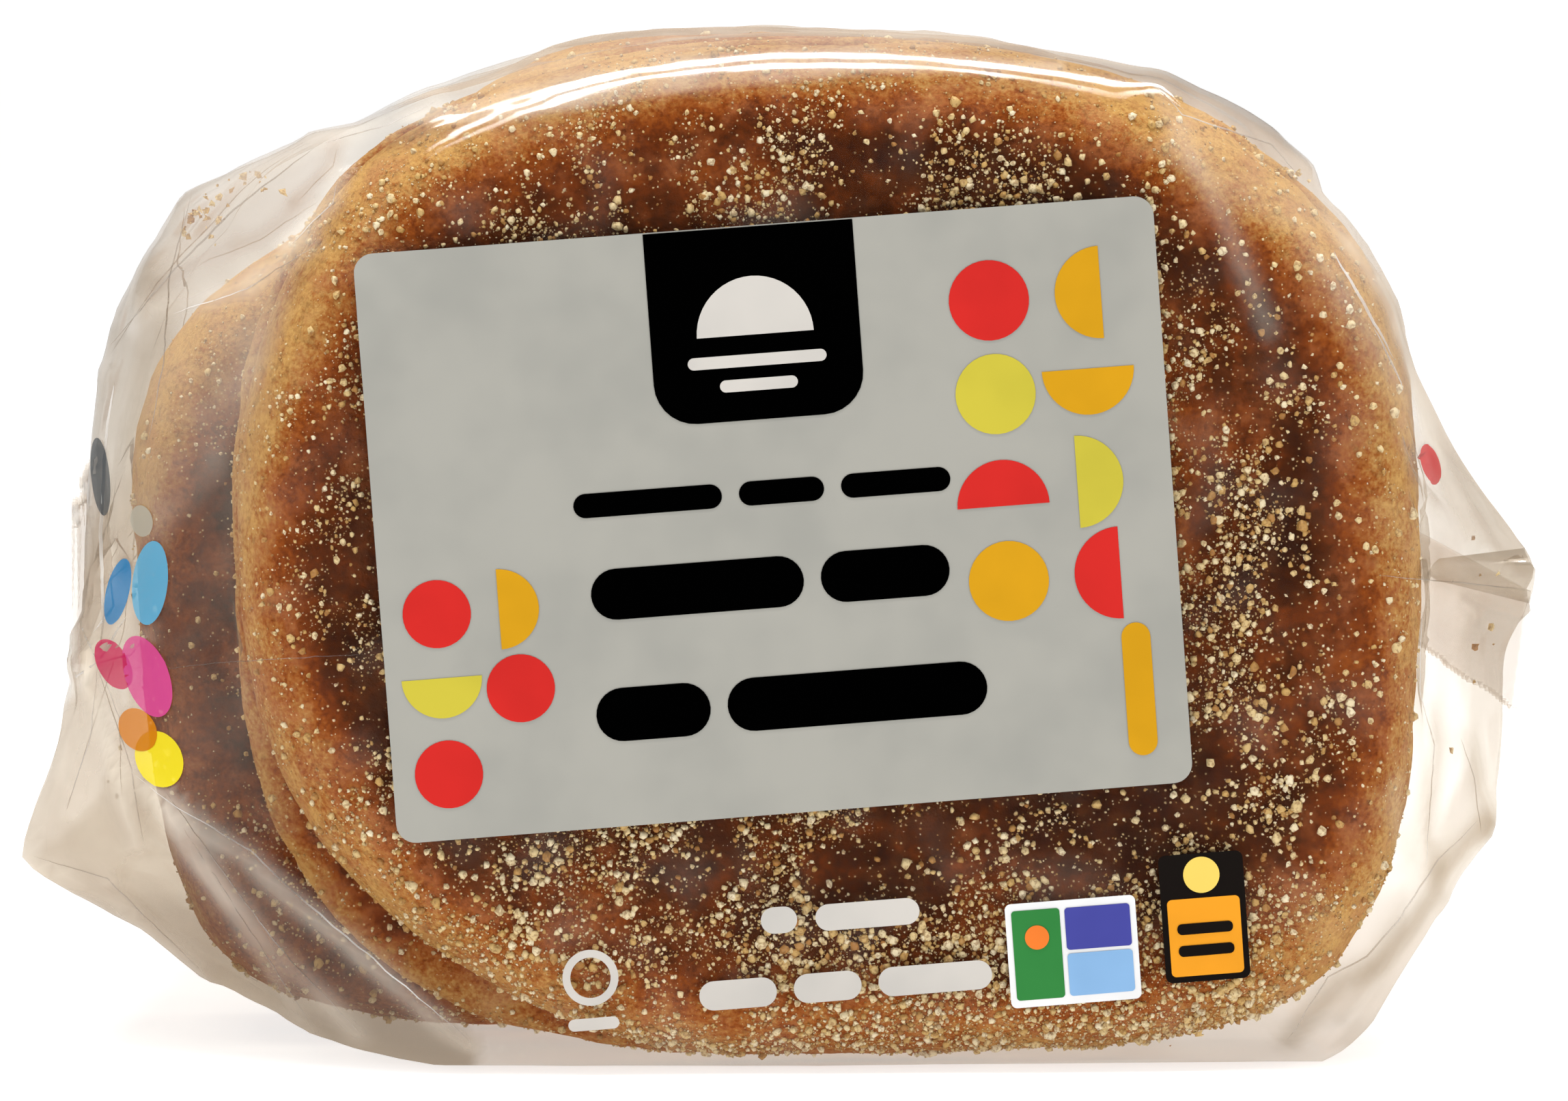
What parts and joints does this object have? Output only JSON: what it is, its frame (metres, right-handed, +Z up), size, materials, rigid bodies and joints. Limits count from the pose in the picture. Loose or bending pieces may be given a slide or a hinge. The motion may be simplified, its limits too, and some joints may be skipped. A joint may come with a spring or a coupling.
{
  "type": "bag of english muffins",
  "caption": "Clear film bag of toasted, grit-dusted muffins standing on edge in a row, sealed at both ends, with a pale label panel on the front.",
  "frame": {"origin": "middle of the bounding box in X and Y, on the flat base that the bag stands on", "axes": "+X to the right along the film tube, +Y back along the row of muffins, +Z up; the label faces -Y"},
  "size_m": [0.1266, 0.1358, 0.0857],
  "materials": {
    "clear_film": "thin clear film, glossy and lightly wrinkled, over the muffins",
    "toasted_crust": "matt baked crust, dark brown faces fading to golden tan rims",
    "grits": "pale cream and yellow corn grits, matt",
    "label_print": "flat ink on the inside of the film"
  },
  "bodies": {
    "root": {"muffin_bag": "clear_film"}
  },
  "joints": []
}
